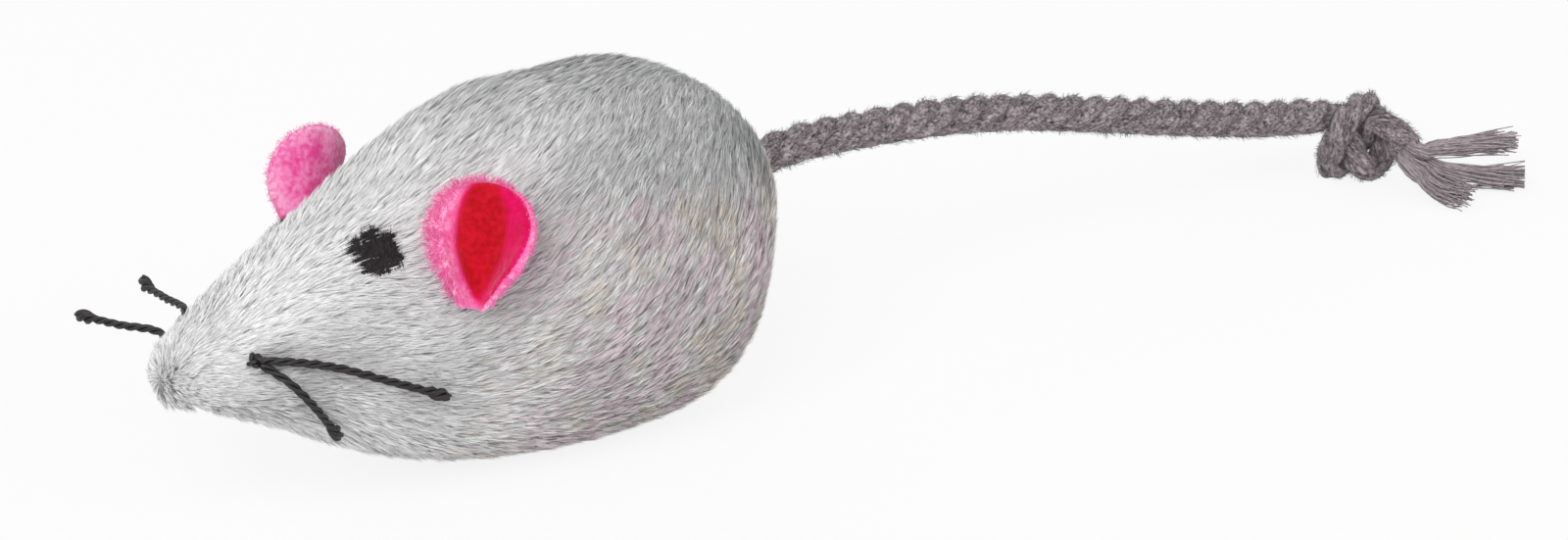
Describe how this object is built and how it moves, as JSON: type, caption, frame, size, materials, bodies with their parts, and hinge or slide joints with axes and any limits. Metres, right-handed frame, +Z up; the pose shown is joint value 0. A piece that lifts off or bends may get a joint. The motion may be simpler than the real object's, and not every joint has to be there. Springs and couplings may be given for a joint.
{
  "type": "catnip mouse",
  "caption": "Stuffed plush toy mouse for cats, with cupped felt ears, stitched eyes, thread whiskers and a twisted rope tail that ends in a knot and frayed strands.",
  "frame": {"origin": "on the table, in the middle of the flat of the belly", "axes": "+Z up; the nose points along -X and the tail lies along +X; the mouse's left side is -Y"},
  "size_m": [0.1492, 0.0359, 0.0322],
  "materials": {
    "plush": "short brushed pile",
    "fibre_fill": "loose fibre",
    "herb": "dried leaf, crumbled",
    "felt": "fuzzy felt",
    "felt_thread": "matte thread",
    "yarn": "matte stitched yarn",
    "waxed_thread": "waxed, slight sheen",
    "seam_thread": "matte thread",
    "rope": "matte twisted cotton"
  },
  "bodies": {
    "mouse": {"plush_body": "plush", "stuffing": "fibre_fill", "catnip_fill": "herb", "belly_seam_thread": "seam_thread", "rump_gather_thread": "seam_thread", "whisker_cross_thread": "waxed_thread", "ear_tack_left": "felt_thread", "ear_tack_right": "felt_thread", "eye_left": "yarn", "eye_right": "yarn", "whisker_knot_left": "waxed_thread", "whisker_knot_right": "waxed_thread", "whisker_left_upper": "waxed_thread", "whisker_left_lower": "waxed_thread", "whisker_right_upper": "waxed_thread", "whisker_right_lower": "waxed_thread"},
    "tail_root": {"tail_inner_knot": "rope"},
    "tail": {"tail_rope": "rope", "tail_knot": "rope", "tail_strand_lower": "rope", "tail_strand_middle": "rope", "tail_strand_upper": "rope"},
    "ear_left_flap": {"ear_left": "felt"},
    "ear_right_flap": {"ear_right": "felt"}
  },
  "joints": [
    {"name": "tail_swing", "type": "hinge", "parent": "mouse", "child": "tail_root", "pos_m": [0.0217, 0, 0.0191], "axis": [0, 0, 1], "range_deg": [-28, 28]},
    {"name": "tail_lift", "type": "hinge", "parent": "tail_root", "child": "tail", "pos_m": [0.0217, 0, 0.0191], "axis": [0, -1, 0], "range_deg": [0, 30]},
    {"name": "ear_left_fold", "type": "hinge", "parent": "mouse", "child": "ear_left_flap", "pos_m": [-0.01898, -0.01248, 0.01951], "axis": [0.6441, -0.7583, -0.1005], "range_deg": [-8, 40], "stiffness_Nm_per_rad": 0.0003},
    {"name": "ear_right_fold", "type": "hinge", "parent": "mouse", "child": "ear_right_flap", "pos_m": [-0.01744, 0.01329, 0.01678], "axis": [-0.7076, -0.3922, 0.5878], "range_deg": [-8, 40], "stiffness_Nm_per_rad": 0.0003}
  ]
}
